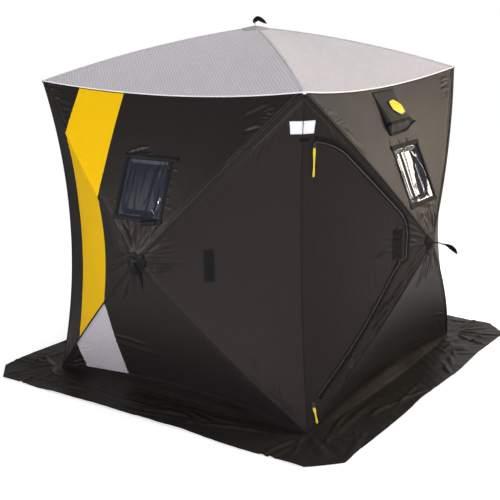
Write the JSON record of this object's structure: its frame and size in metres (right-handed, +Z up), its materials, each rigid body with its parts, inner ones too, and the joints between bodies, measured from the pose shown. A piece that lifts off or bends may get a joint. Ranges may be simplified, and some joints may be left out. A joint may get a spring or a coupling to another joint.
{
  "type": "ice fishing hut",
  "caption": "Square pop-up ice fishing hut with spring poles, a snow skirt, a zip door, clear windows and hooded vents.",
  "frame": {"origin": "on the ground under the middle of the roof", "axes": "+Z up, the door's wall faces -Y, the wall with the bright stripe left of it faces -X"},
  "size_m": [2.6138, 2.6138, 2.0939],
  "materials": {
    "wall_fabric": "woven polyester, matt",
    "roof_fabric": "coated polyester with a fine diamond print",
    "stripe_fabric": "woven polyester, bright yellow",
    "skirt_fabric": "heavy woven polyester, matt",
    "clear_vinyl": "clear, wrinkled",
    "binding": "woven tape",
    "mesh": "fine mesh",
    "webbing": "ribbed tape",
    "reflective_tape": "silver white",
    "zip_tape": "coil zip on tape",
    "pull_tab": "braided",
    "fibreglass": "pultruded rod",
    "moulding": "moulded"
  },
  "bodies": {
    "root": {"back_skirt": "skirt_fabric", "back_wall_bottom": "wall_fabric", "back_wall_left_side": "wall_fabric", "back_wall_poles": "fibreglass", "back_wall_right_side": "wall_fabric", "back_wall_top": "wall_fabric", "bottom_corner_sockets": "moulding", "door_fold_strip": "wall_fabric", "foot_zip_pull": "pull_tab", "front_skirt": "skirt_fabric", "front_wall_above_door": "wall_fabric", "front_wall_below_door": "wall_fabric", "front_wall_bottom": "wall_fabric", "front_wall_poles": "fibreglass", "front_wall_right_side": "wall_fabric", "front_wall_top": "wall_fabric", "hub_patches": "webbing", "left_skirt": "skirt_fabric", "left_wall_bottom": "wall_fabric", "left_wall_left_side": "wall_fabric", "left_wall_patch": "webbing", "left_wall_poles": "fibreglass", "left_wall_right_side": "wall_fabric", "left_wall_top": "wall_fabric", "pole_hubs": "moulding", "pull_straps": "webbing", "reflective_mark": "reflective_tape", "right_skirt": "skirt_fabric", "right_wall_bottom": "wall_fabric", "right_wall_left_side": "wall_fabric", "right_wall_poles": "fibreglass", "right_wall_right_side": "wall_fabric", "right_wall_top": "wall_fabric", "roof_back": "roof_fabric", "roof_front": "roof_fabric", "roof_left": "roof_fabric", "roof_poles": "fibreglass", "roof_right": "roof_fabric", "side_grey_bands": "roof_fabric", "side_stripes": "stripe_fabric", "top_corner_sockets": "moulding", "vent_hoods": "wall_fabric", "vent_meshes": "mesh", "window_borders": "binding", "window_panes": "clear_vinyl"},
    "door": {"door_panel": "wall_fabric", "door_zip": "zip_tape", "door_tie_strip": "webbing", "door_zip_pull": "pull_tab"}
  },
  "joints": [
    {"name": "door_fold", "type": "hinge", "parent": "root", "child": "door", "pos_m": [-0.82393, -0.89377, 0.9], "axis": [0, 0, -1], "range_deg": [0, 140]}
  ]
}
